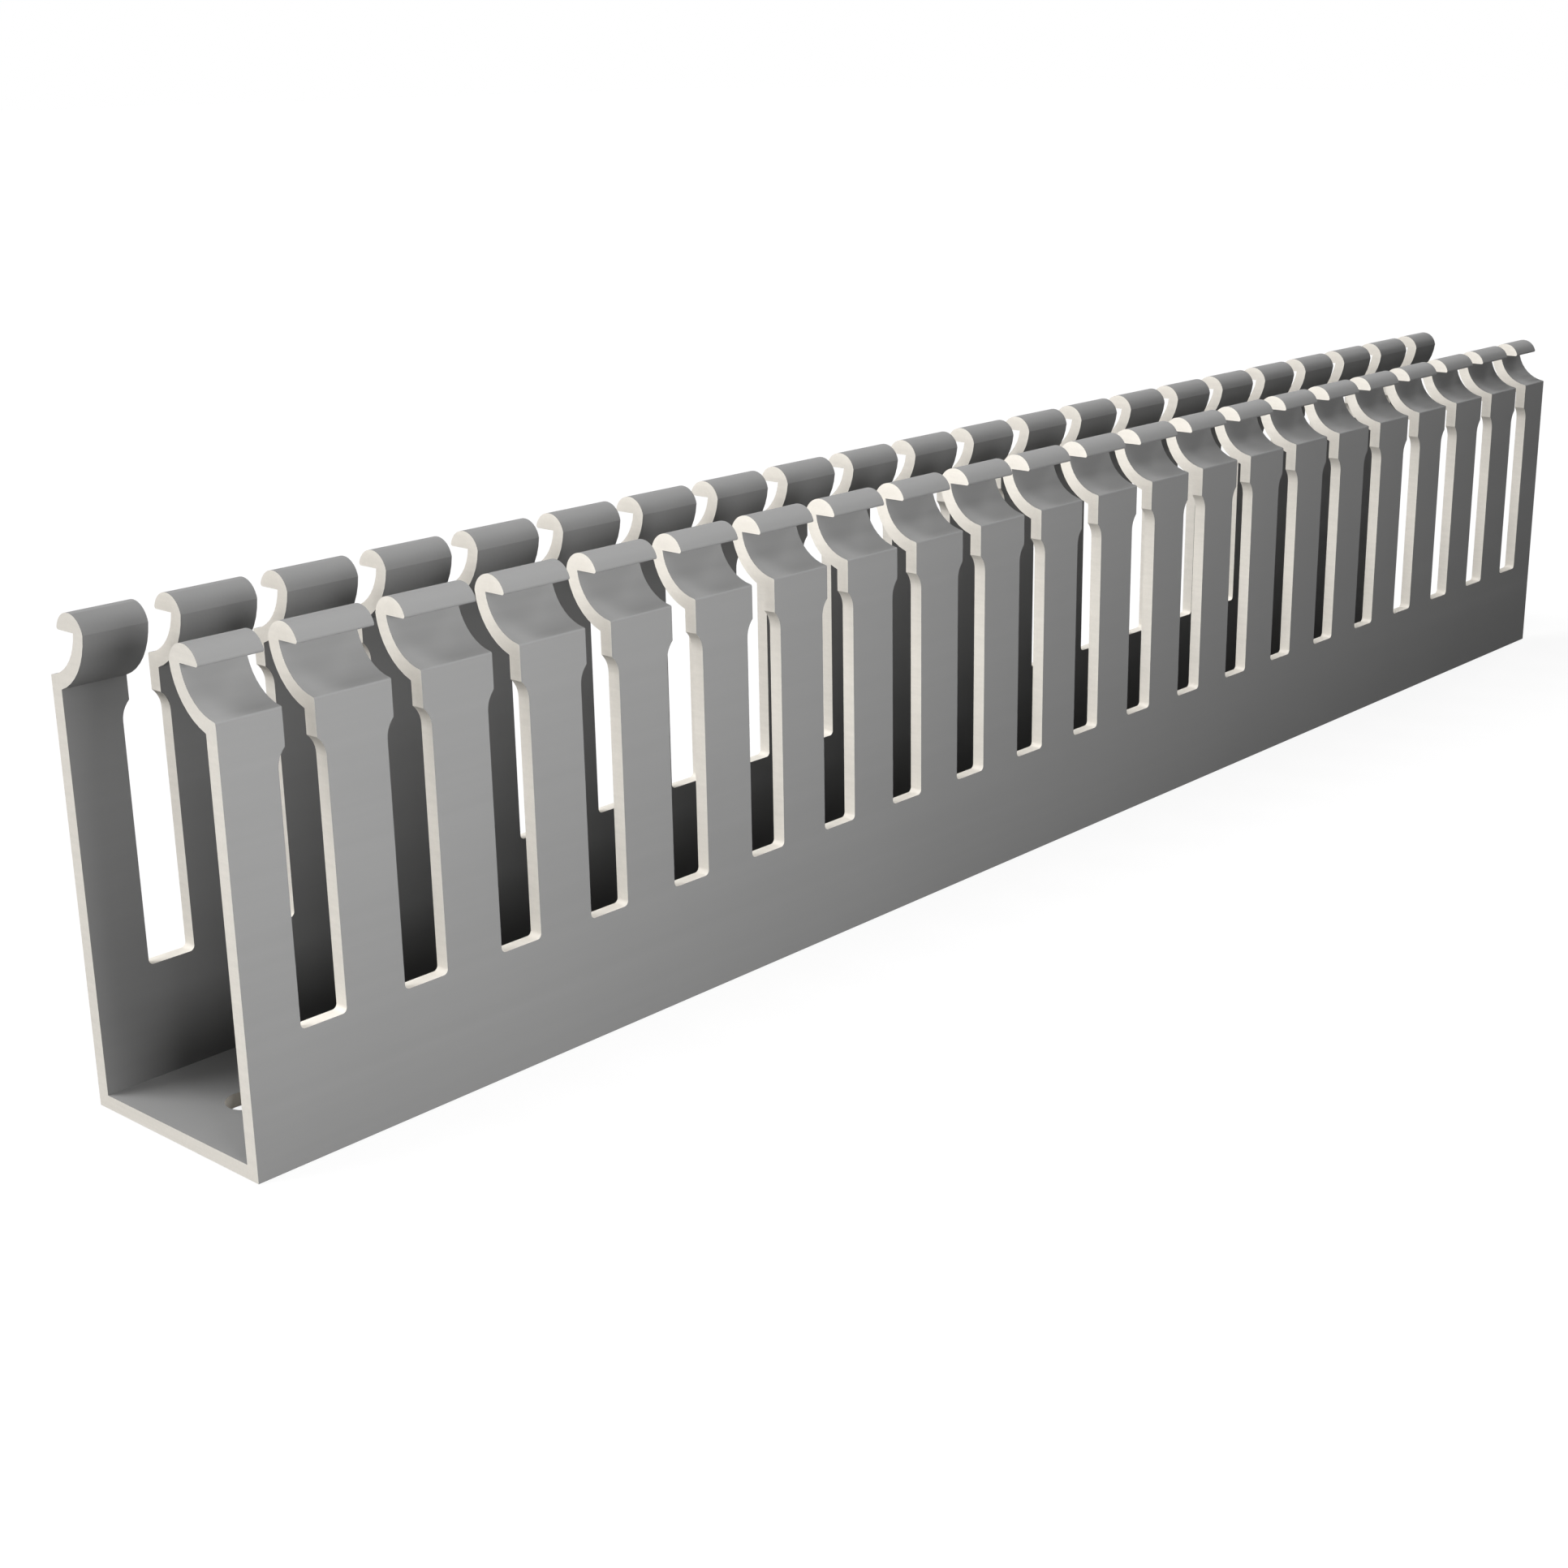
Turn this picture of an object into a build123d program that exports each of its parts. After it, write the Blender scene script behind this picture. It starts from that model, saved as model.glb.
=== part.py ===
from build123d import *
import os
from math import sqrt

# Slotted wiring duct: the open channel that the wires lie in, one piece of extruded rigid PVC.
# X runs along the duct, Y across it and Z up. The origin is at the middle of the underside.

# Section, in millimetres
width = 26.8                 # outside, over both walls
height = 51.8                # underside of the floor to the crown of the hooks
wall_thickness = 1.6
floor_thickness = 1.5

# Cover groove: a round hollow on the outside of each wall, with the wall bent round it
groove_radius = 5.4
groove_centre_outset = 0.6   # the groove's centre lies this far outside the wall's outer face
groove_centre_drop = 1.25    # and this far below the crown
shoulder_rounding = 0.2      # where the groove breaks out of the wall's outer face

# Hook: the bead that a clip-on cover catches on, over the groove
hook_underside_drop = 1.9    # the flat underside, below the crown
hook_tip_inset = 1.9         # the tip, in from the wall's outer face
hook_tip_rounding = 0.25

# Stock length, sawn square at both ends
length = 267.6

# Side slots, the same in both walls and open at the top
slot_pitch = 12.5
first_slot_from_end = 8.9    # the first slot's middle, from the end at low X
slot_width = 5.4
slot_bottom_height = 13.7    # above the underside
slot_corner_rounding = 0.55
throat_width = 3.6           # the narrower way in at the top
throat_below_shoulder = 3.8  # the throat starts this far below the wall's outer shoulder

# Screw holes along the middle of the floor
hole_diameter = 4.6
hole_pitch = 50.0
first_hole_from_end = 8.5    # the first hole's middle, from the end at low X

least_end_wall = 3.0         # stock left between the last slot or hole and the end at high X
cutter_overrun = 1.0         # how far the cutters run past the faces that they cut

low_end = -length / 2
groove_centre_height = height - groove_centre_drop
underside_height = height - hook_underside_drop


def bend_height(radius, inset):
    """Height at which an arc about the groove's centre passes a given inset, on its lower side."""
    across = groove_centre_outset + inset
    return groove_centre_height - sqrt(radius ** 2 - across ** 2)


def bend_inset(radius, at_height):
    """Inset at which an arc about the groove's centre passes a given height."""
    down = groove_centre_height - at_height
    return sqrt(radius ** 2 - down ** 2) - groove_centre_outset


neck_radius = groove_radius + wall_thickness
shoulder_height = bend_height(groove_radius, 0)
inner_shoulder_height = bend_height(neck_radius, wall_thickness)


def arc_about_groove(radius, start, end):
    """Arc about the groove's centre, between two points of that radius less than half a turn apart."""
    centre = Vector(-groove_centre_outset, groove_centre_height)
    towards_middle = (Vector(*start) + Vector(*end)) * 0.5 - centre
    middle = centre + towards_middle.normalized() * radius
    return ThreePointArc(start, middle, end)


def rounded_corner(face, corner, radius):
    """The face with its corner nearest to a point rounded off."""
    return fillet(face.vertices().sort_by_distance((*corner, 0))[0], radius)


def wall_face():
    """Section of one wall with its neck and hook: first coordinate in from the outer face, second up."""
    shoulder = (0, shoulder_height)
    under_hook = (bend_inset(groove_radius, underside_height), underside_height)
    tip = (hook_tip_inset, underside_height)
    crease = (bend_inset(neck_radius, underside_height), underside_height)
    crown = ((tip[0] + crease[0]) / 2, height)
    inner_shoulder = (wall_thickness, inner_shoulder_height)
    outline = [
        Line((0, 0), shoulder),
        arc_about_groove(groove_radius, shoulder, under_hook),
        Line(under_hook, tip),
        ThreePointArc(tip, crown, crease),
        arc_about_groove(neck_radius, crease, inner_shoulder),
        Line(inner_shoulder, (wall_thickness, 0)),
        Line((wall_thickness, 0), (0, 0)),
    ]
    face = rounded_corner(make_face(Wire(outline)), tip, hook_tip_rounding)
    return rounded_corner(face, shoulder, shoulder_rounding)


def section():
    """The whole U section, facing along the duct."""
    left_wall = Pos(-width / 2, 0) * wall_face()
    floor = Pos(0, floor_thickness / 2) * Rectangle(width, floor_thickness)
    return left_wall + floor + mirror(left_wall, Plane.YZ)


def slot_cutter():
    """One slot through both walls: a straight body, a round top and the throat up through the hook."""
    half_width = slot_width / 2
    throat_start = shoulder_height - throat_below_shoulder
    round_centre = throat_start - sqrt(half_width ** 2 - (throat_width / 2) ** 2)
    body = Rectangle(slot_width, round_centre - slot_bottom_height, align=(Align.CENTER, Align.MIN))
    body = fillet(body.vertices().group_by(Axis.Y)[0], slot_corner_rounding)
    throat_top = height + cutter_overrun
    throat = Rectangle(throat_width, throat_top - round_centre, align=(Align.CENTER, Align.MIN))
    outline = Pos(0, slot_bottom_height) * body
    outline += Pos(0, round_centre) * Circle(half_width)
    outline += Pos(0, round_centre) * throat
    return extrude(Plane.XZ * outline, width / 2 + cutter_overrun, both=True)


def hole_cutter():
    """One screw hole through the floor."""
    depth = floor_thickness + 2 * cutter_overrun
    drill = Cylinder(hole_diameter / 2, depth, align=(Align.CENTER, Align.CENTER, Align.MIN))
    return Pos(0, 0, -cutter_overrun) * drill


def row_along(cutter, first, pitch, opening):
    """Copies of a cutter in a row along the duct, as many as leave stock enough beyond the last."""
    count = int((length - first - opening / 2 - least_end_wall) / pitch) + 1
    return [Pos(low_end + first + number * pitch, 0, 0) * cutter for number in range(count)]


def duct_channel():
    """The finished channel: the section run out to length, slotted and drilled."""
    stock = extrude(Plane.YZ.offset(low_end) * section(), length)
    slots = row_along(slot_cutter(), first_slot_from_end, slot_pitch, slot_width)
    holes = row_along(hole_cutter(), first_hole_from_end, hole_pitch, hole_diameter)
    return stock - slots - holes


os.makedirs("parts", exist_ok=True)
export_step(duct_channel(), "parts/duct_channel.step")
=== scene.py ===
from math import cos, pi, radians, sin
import bpy
from mathutils import Euler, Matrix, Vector


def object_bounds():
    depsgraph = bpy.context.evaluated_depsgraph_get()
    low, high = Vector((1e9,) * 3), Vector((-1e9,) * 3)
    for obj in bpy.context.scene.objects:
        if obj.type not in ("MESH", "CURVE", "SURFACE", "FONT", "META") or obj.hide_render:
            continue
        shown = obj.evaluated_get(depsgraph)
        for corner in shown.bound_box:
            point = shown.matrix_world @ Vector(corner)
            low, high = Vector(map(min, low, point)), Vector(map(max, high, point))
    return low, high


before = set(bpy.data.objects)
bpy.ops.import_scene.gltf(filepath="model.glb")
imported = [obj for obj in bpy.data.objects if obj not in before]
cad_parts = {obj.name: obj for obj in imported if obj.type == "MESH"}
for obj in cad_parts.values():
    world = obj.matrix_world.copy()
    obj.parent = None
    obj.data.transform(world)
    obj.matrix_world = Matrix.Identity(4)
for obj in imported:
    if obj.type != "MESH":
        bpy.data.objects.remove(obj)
cad_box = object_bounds()

# Lengths are in metres unless a name says otherwise; directions are clockwise from +Y, seen from above
MM = 0.001

# Camera, fitted to the photograph with little lens shift
PHOTO_WIDTH_PX = 1932
CAMERA_PLACE = (-245.63 * MM, -183.46 * MM, 101.63 * MM)
CAMERA_AZIMUTH = 48.153
CAMERA_DOWN = 17.516
CAMERA_ROLL = -0.834
FOCAL_PX = 2857.7
OPTICAL_CENTRE_PX = (993.5, 955.8)
SENSOR_WIDTH_MM = 36.0
CLIP_NEAR = 0.01
CLIP_FAR = 50.0

# The duct's own places that its material needs
SLOT_BOTTOM_HEIGHT = 13.7 * MM
HOLE_ZONE_HALF_WIDTH = 4.0 * MM
PLACE_TOLERANCE = 0.2 * MM
FLOOR_ZONE_HEIGHT = 3.0 * MM
HALF_LENGTH = cad_box[1][0]

# The least that a face's normal points along the duct, up, or towards the middle to count as such a face,
# and the most that it points up or down to count as upright
ALONG_LEAST = 0.01
UPWARD_LEAST = 0.9
UPRIGHT_MOST = 0.5
INWARD_LEAST = 0.2

# Colours, linear
EXTRUDED_GREY = (0.225, 0.225, 0.2235)
CUT_CREAM = (0.722, 0.689, 0.632)
WHITE = (1.0, 1.0, 1.0)

# Painted shade inside the channel, the grey darkened where less light gets in: how open it is at the bottom
# and how that grows per metre of height, how open the floor and the walls are right at the ends, and how
# far in that reaches; then the openness at which the grey is darkest and at which it is full, and the share
# of the grey that is left where it is darkest
FLOOR_OPENNESS = 0.14
OPENNESS_PER_HEIGHT = 6.8
FLOOR_END_OPENNESS = 0.66
WALL_END_OPENNESS = 0.42
END_REACH = 15 * MM
SHADED_OPENNESS = 0.2
FULL_OPENNESS = 0.5
SHADED_SHARE = 0.4

# Gloss
SPECULAR_LEVEL = 0.1
EXTRUDED_ROUGHNESS = 0.76
CUT_ROUGHNESS = 0.9

# Surface detail: cells per metre, share of the colour or roughness that it takes, and depth
STREAK_SCALE = 700.0
STREAK_STRETCH = (0.012, 1.0, 1.0)
STREAK_SHARE = 0.02
CLOUD_SCALE = 45.0
CLOUD_SHARE = 0.015
GRAIN_SCALE = 2600.0
GRAIN_SHARE = 0.015
CUT_STREAK_SCALE = 1900.0
CUT_STREAK_STRETCH = (1.0, 0.06, 1.0)
CUT_STREAK_SHARE = 0.025
ROUGHNESS_SHARE = 0.12
SKIN_DEPTH = 0.006 * MM
CUT_DEPTH = 0.015 * MM

# Noise: how fine it goes in spots and in lines, and the values that count as its least and its most
SPOT_DETAIL = 2.0
LINE_DETAIL = 3.0
NOISE_LOW = 0.3
NOISE_HIGH = 0.7

# Floor and surroundings
FLOOR_HALF_SIDE = 4.0
FLOOR_DROP = 0.1 * MM
FLOOR_ALBEDO = 0.13
FLOOR_GLOW = 0.87
AMBIENT = 0.03
FAR_BOX_WIDTH_DEGREES = 30.0


def new_material(name):
    """An empty node material with its output node."""
    material = bpy.data.materials.new(name)
    material.use_nodes = True
    material.node_tree.nodes.clear()
    output = material.node_tree.nodes.new("ShaderNodeOutputMaterial")
    return material, material.node_tree, output


def node(tree, kind, **settings):
    """A new node with some of its settings made."""
    made = tree.nodes.new(kind)
    for name, value in settings.items():
        setattr(made, name, value)
    return made


def feed(tree, target, value):
    """Sets an input socket, or links it when the value is an output socket."""
    if isinstance(value, bpy.types.NodeSocket):
        tree.links.new(value, target)
    else:
        target.default_value = value


def maths(tree, operation, first, second=0.0, third=0.0):
    """The output of a Math node over numbers or sockets."""
    made = node(tree, "ShaderNodeMath", operation=operation)
    feed(tree, made.inputs[0], first)
    feed(tree, made.inputs[1], second)
    feed(tree, made.inputs[2], third)
    return made.outputs[0]


def between(tree, value, low, high, start=0.0, end=1.0):
    """The value carried from the range low to high over to the range start to end, and held there."""
    made = node(tree, "ShaderNodeMapRange")
    feed(tree, made.inputs["Value"], value)
    feed(tree, made.inputs["From Min"], low)
    feed(tree, made.inputs["From Max"], high)
    feed(tree, made.inputs["To Min"], start)
    feed(tree, made.inputs["To Max"], end)
    return made.outputs["Result"]


def mixed_colour(tree, factor, first, second):
    """The output of a colour Mix node over colours or sockets."""
    made = node(tree, "ShaderNodeMix", data_type="RGBA")
    feed(tree, made.inputs["Factor"], factor)
    colours = [socket for socket in made.inputs if socket.type == "RGBA"]
    for socket, colour in zip(colours, (first, second)):
        feed(tree, socket, (*colour, 1.0) if isinstance(colour, tuple) else colour)
    return [socket for socket in made.outputs if socket.type == "RGBA"][0]


def scaled_colour(tree, colour, level):
    """A colour made lighter or darker by a level round 1."""
    made = node(tree, "ShaderNodeVectorMath", operation="SCALE")
    feed(tree, made.inputs[0], colour)
    feed(tree, made.inputs["Scale"], level)
    return made.outputs[0]


def noise(tree, place, scale, detail=SPOT_DETAIL, stretch=(1.0, 1.0, 1.0)):
    """Noise about 0.5 over the duct's own coordinates, drawn out along the axes with a small stretch."""
    mapping = node(tree, "ShaderNodeMapping")
    feed(tree, mapping.inputs["Vector"], place)
    feed(tree, mapping.inputs["Scale"], stretch)
    made = node(tree, "ShaderNodeTexNoise")
    feed(tree, made.inputs["Vector"], mapping.outputs["Vector"])
    feed(tree, made.inputs["Scale"], scale)
    feed(tree, made.inputs["Detail"], detail)
    return made.outputs["Fac"]


def facing_and_place(tree):
    """The way that a face looks, and where a spot is, as numbers along the duct's axes."""
    facing = node(tree, "ShaderNodeSeparateXYZ")
    feed(tree, facing.inputs[0], node(tree, "ShaderNodeNewGeometry").outputs["True Normal"])
    where = node(tree, "ShaderNodeSeparateXYZ")
    feed(tree, where.inputs[0], node(tree, "ShaderNodeTexCoord").outputs["Object"])
    return facing.outputs, where.outputs


def cut_face_mask(tree, facing, where):
    """1 on sawn and punched faces, 0 on the faces that the extruder left."""
    along = maths(tree, "ABSOLUTE", facing["X"])
    faces_along = maths(tree, "GREATER_THAN", along, ALONG_LEAST)
    faces_up = maths(tree, "GREATER_THAN", facing["Z"], UPWARD_LEAST)
    at_slot_bottom = maths(tree, "COMPARE", where["Z"], SLOT_BOTTOM_HEIGHT, PLACE_TOLERANCE)
    slot_bottom = maths(tree, "MULTIPLY", faces_up, at_slot_bottom)
    upright = maths(tree, "LESS_THAN", maths(tree, "ABSOLUTE", facing["Z"]), UPRIGHT_MOST)
    near_middle = maths(tree, "LESS_THAN", maths(tree, "ABSOLUTE", where["Y"]), HOLE_ZONE_HALF_WIDTH)
    hole_wall = maths(tree, "MULTIPLY", upright, near_middle)
    return maths(tree, "MAXIMUM", maths(tree, "MAXIMUM", faces_along, slot_bottom), hole_wall)


def channel_floor_mask(tree, facing, where):
    """1 on the top of the channel's floor."""
    faces_up = maths(tree, "GREATER_THAN", facing["Z"], UPWARD_LEAST)
    low = maths(tree, "LESS_THAN", where["Z"], FLOOR_ZONE_HEIGHT)
    return maths(tree, "MULTIPLY", faces_up, low)


def inner_wall_mask(tree, facing, where):
    """1 on the faces that look across the channel at the other wall."""
    outwards = maths(tree, "MULTIPLY", facing["Y"], maths(tree, "SIGN", where["Y"]))
    return maths(tree, "LESS_THAN", outwards, -INWARD_LEAST)


def painted_shade_share(tree, facing, where):
    """How much of its colour a grey spot keeps under painted shade: all outside, less deep inside the
    channel.
    """
    on_floor = channel_floor_mask(tree, facing, where)
    on_wall = inner_wall_mask(tree, facing, where)
    from_end = maths(tree, "SUBTRACT", HALF_LENGTH, maths(tree, "ABSOLUTE", where["X"]))
    near_end = maths(tree, "EXPONENT", maths(tree, "DIVIDE", from_end, -END_REACH))
    end_openness = between(tree, on_floor, 0.0, 1.0, WALL_END_OPENNESS, FLOOR_END_OPENNESS)
    openness = maths(tree, "MULTIPLY_ADD", where["Z"], OPENNESS_PER_HEIGHT, FLOOR_OPENNESS)
    openness = between(tree, near_end, 0.0, 1.0, openness, end_openness)
    inside_share = between(tree, openness, SHADED_OPENNESS, FULL_OPENNESS, SHADED_SHARE, 1.0)
    return between(tree, maths(tree, "MAXIMUM", on_floor, on_wall), 0.0, 1.0, 1.0, inside_share)


def level_about_one(tree, pattern, share):
    """A factor that follows a noise pattern and differs from 1 by up to the share."""
    return between(tree, pattern, NOISE_LOW, NOISE_HIGH, 1.0 - share, 1.0 + share)


def rigid_pvc():
    """Satin grey where the extruder's die smoothed it, paler and dull where it is sawn or punched."""
    material, tree, output = new_material("duct_rigid_pvc")
    place = node(tree, "ShaderNodeTexCoord").outputs["Object"]
    facing, where = facing_and_place(tree)
    cut = cut_face_mask(tree, facing, where)

    die_lines = noise(tree, place, STREAK_SCALE, LINE_DETAIL, STREAK_STRETCH)
    clouds = noise(tree, place, CLOUD_SCALE)
    grain = noise(tree, place, GRAIN_SCALE)
    shear_lines = noise(tree, place, CUT_STREAK_SCALE, LINE_DETAIL, CUT_STREAK_STRETCH)

    grey_level = maths(tree, "MULTIPLY", level_about_one(tree, die_lines, STREAK_SHARE),
                       level_about_one(tree, clouds, CLOUD_SHARE))
    # Painted shade: the grey is darkened deep inside the channel, where less light gets in
    grey_level = maths(tree, "MULTIPLY", grey_level, painted_shade_share(tree, facing, where))
    grey = scaled_colour(tree, EXTRUDED_GREY, grey_level)
    cream_level = maths(tree, "MULTIPLY", level_about_one(tree, shear_lines, CUT_STREAK_SHARE),
                        level_about_one(tree, grain, GRAIN_SHARE))
    cream = scaled_colour(tree, CUT_CREAM, cream_level)

    shader = node(tree, "ShaderNodeBsdfPrincipled")
    feed(tree, shader.inputs["Base Color"], mixed_colour(tree, cut, grey, cream))
    shader.inputs["Specular IOR Level"].default_value = SPECULAR_LEVEL

    roughness = between(tree, cut, 0.0, 1.0, EXTRUDED_ROUGHNESS, CUT_ROUGHNESS)
    feed(tree, shader.inputs["Roughness"],
         maths(tree, "MULTIPLY", roughness, level_about_one(tree, die_lines, ROUGHNESS_SHARE)))

    skin_relief = maths(tree, "MULTIPLY", maths(tree, "ADD", die_lines, grain), SKIN_DEPTH)
    cut_relief = maths(tree, "MULTIPLY", maths(tree, "ADD", shear_lines, grain), CUT_DEPTH)
    bump = node(tree, "ShaderNodeBump")
    feed(tree, bump.inputs["Height"], between(tree, cut, 0.0, 1.0, skin_relief, cut_relief))
    # The relief is in metres already, so it is taken as it is
    bump.inputs["Distance"].default_value = 1.0
    feed(tree, shader.inputs["Normal"], bump.outputs["Normal"])
    feed(tree, output.inputs["Surface"], shader.outputs[0])
    return material


def seen_directly(tree):
    """1 for rays that show the surroundings: from the camera, off a gloss or through a clear body."""
    path = node(tree, "ShaderNodeLightPath")
    seen_or_mirrored = maths(
        tree, "MAXIMUM", path.outputs["Is Camera Ray"], path.outputs["Is Glossy Ray"]
    )
    return maths(tree, "MAXIMUM", seen_or_mirrored, path.outputs["Is Transmission Ray"])


def studio_floor():
    """A wide pale floor that keeps the duct's shadow and looks white elsewhere."""
    material, tree, output = new_material("studio_floor")
    matt = node(tree, "ShaderNodeBsdfDiffuse")
    matt.inputs["Color"].default_value = (FLOOR_ALBEDO, FLOOR_ALBEDO, FLOOR_ALBEDO, 1.0)
    glow = node(tree, "ShaderNodeEmission")
    glow.inputs["Color"].default_value = (*WHITE, 1.0)
    feed(tree, glow.inputs["Strength"], maths(tree, "MULTIPLY", seen_directly(tree), FLOOR_GLOW))
    both = node(tree, "ShaderNodeAddShader")
    feed(tree, both.inputs[0], matt.outputs[0])
    feed(tree, both.inputs[1], glow.outputs[0])
    feed(tree, output.inputs["Surface"], both.outputs[0])
    half = FLOOR_HALF_SIDE
    mesh = bpy.data.meshes.new("studio_floor")
    corners = [(-half, -half, 0), (half, -half, 0), (half, half, 0), (-half, half, 0)]
    mesh.from_pydata(corners, [], [(0, 1, 2, 3)])
    mesh.materials.append(material)
    floor = bpy.data.objects.new("studio_floor", mesh)
    floor.location.z = -FLOOR_DROP
    bpy.context.scene.collection.objects.link(floor)


def surroundings():
    """A little even light from all round, which shows as plain white."""
    world = bpy.data.worlds.new("studio")
    bpy.context.scene.world = world
    world.use_nodes = True
    tree = world.node_tree
    tree.nodes.clear()
    output = node(tree, "ShaderNodeOutputWorld")
    background = node(tree, "ShaderNodeBackground")
    background.inputs["Color"].default_value = (*WHITE, 1.0)
    strength = maths(tree, "MAXIMUM", seen_directly(tree), AMBIENT)
    feed(tree, background.inputs["Strength"], strength)
    feed(tree, output.inputs["Surface"], background.outputs[0])


def direction(azimuth, elevation):
    """Unit vector towards a point of the compass, and up."""
    a = radians(azimuth)
    e = radians(elevation)
    return Vector((sin(a) * cos(e), cos(a) * cos(e), sin(e)))


def lamp_object(name, data, out):
    """A lamp that shines against a direction and isn't seen by the camera."""
    lamp = bpy.data.objects.new(name, data)
    lamp.rotation_mode = "QUATERNION"
    lamp.rotation_quaternion = out.to_track_quat("Z", "Y")
    lamp.visible_camera = False
    bpy.context.scene.collection.objects.link(lamp)
    return lamp


def near_box(name, place_mm, aim_mm, width_mm, height_mm, watts):
    """A soft box close to the duct, facing a point."""
    data = bpy.data.lights.new(name, "AREA")
    data.shape = "RECTANGLE"
    data.size = width_mm * MM
    data.size_y = height_mm * MM
    data.energy = watts
    place = Vector(place_mm) * MM
    lamp = lamp_object(name, data, place - Vector(aim_mm) * MM)
    lamp.location = place


def far_box(name, azimuth, elevation, level):
    """A soft box far off; at level 1 a white face square to it renders white."""
    data = bpy.data.lights.new(name, "SUN")
    data.angle = radians(FAR_BOX_WIDTH_DEGREES)
    data.energy = pi * level
    lamp_object(name, data, direction(azimuth, elevation))


def studio_lamps():
    """Boxes before and over the duct, light up from the floor, and soft light from left, back and right."""
    near_box("key_box", (-150, -200, 70), (-130, 0, 30), width_mm=110, height_mm=60, watts=0.42)
    near_box("front_high_box", (-250, -250, 250), (-200, 0, 30), width_mm=100, height_mm=100, watts=0.14)
    near_box("over_hooks_strip", (0, -50, 150), (0, 0, 40), width_mm=250, height_mm=40, watts=0.05)
    near_box("floor_bounce", (-40, -200, 1), (-40, -200, 2), width_mm=300, height_mm=200, watts=0.25)
    far_box("high_left_box", azimuth=-50.0, elevation=50.0, level=0.8)
    far_box("back_left_box", azimuth=-30.0, elevation=25.0, level=0.45)
    far_box("low_left_box", azimuth=-90.0, elevation=5.0, level=0.16)
    far_box("right_box", azimuth=90.0, elevation=30.0, level=0.63)


def camera():
    """Close to the photograph's view, with so little lens shift that other views keep the whole duct."""
    data = bpy.data.cameras.new("photo_camera")
    data.sensor_fit = "HORIZONTAL"
    data.sensor_width = SENSOR_WIDTH_MM
    data.lens = FOCAL_PX / PHOTO_WIDTH_PX * SENSOR_WIDTH_MM
    data.shift_x = 0.5 - OPTICAL_CENTRE_PX[0] / PHOTO_WIDTH_PX
    data.shift_y = OPTICAL_CENTRE_PX[1] / PHOTO_WIDTH_PX - 0.5
    data.clip_start = CLIP_NEAR
    data.clip_end = CLIP_FAR
    made = bpy.data.objects.new("photo_camera", data)
    made.location = CAMERA_PLACE
    turn = Euler((pi / 2 - radians(CAMERA_DOWN), 0.0, -radians(CAMERA_AZIMUTH)))
    turn.rotate_axis("Z", radians(CAMERA_ROLL))
    made.rotation_euler = turn
    bpy.context.scene.collection.objects.link(made)
    bpy.context.scene.camera = made


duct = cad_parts["duct_channel"]
duct.material_slots[0].material = rigid_pvc()
studio_floor()
surroundings()
studio_lamps()
camera()
bpy.context.scene.view_settings.view_transform = "Standard"
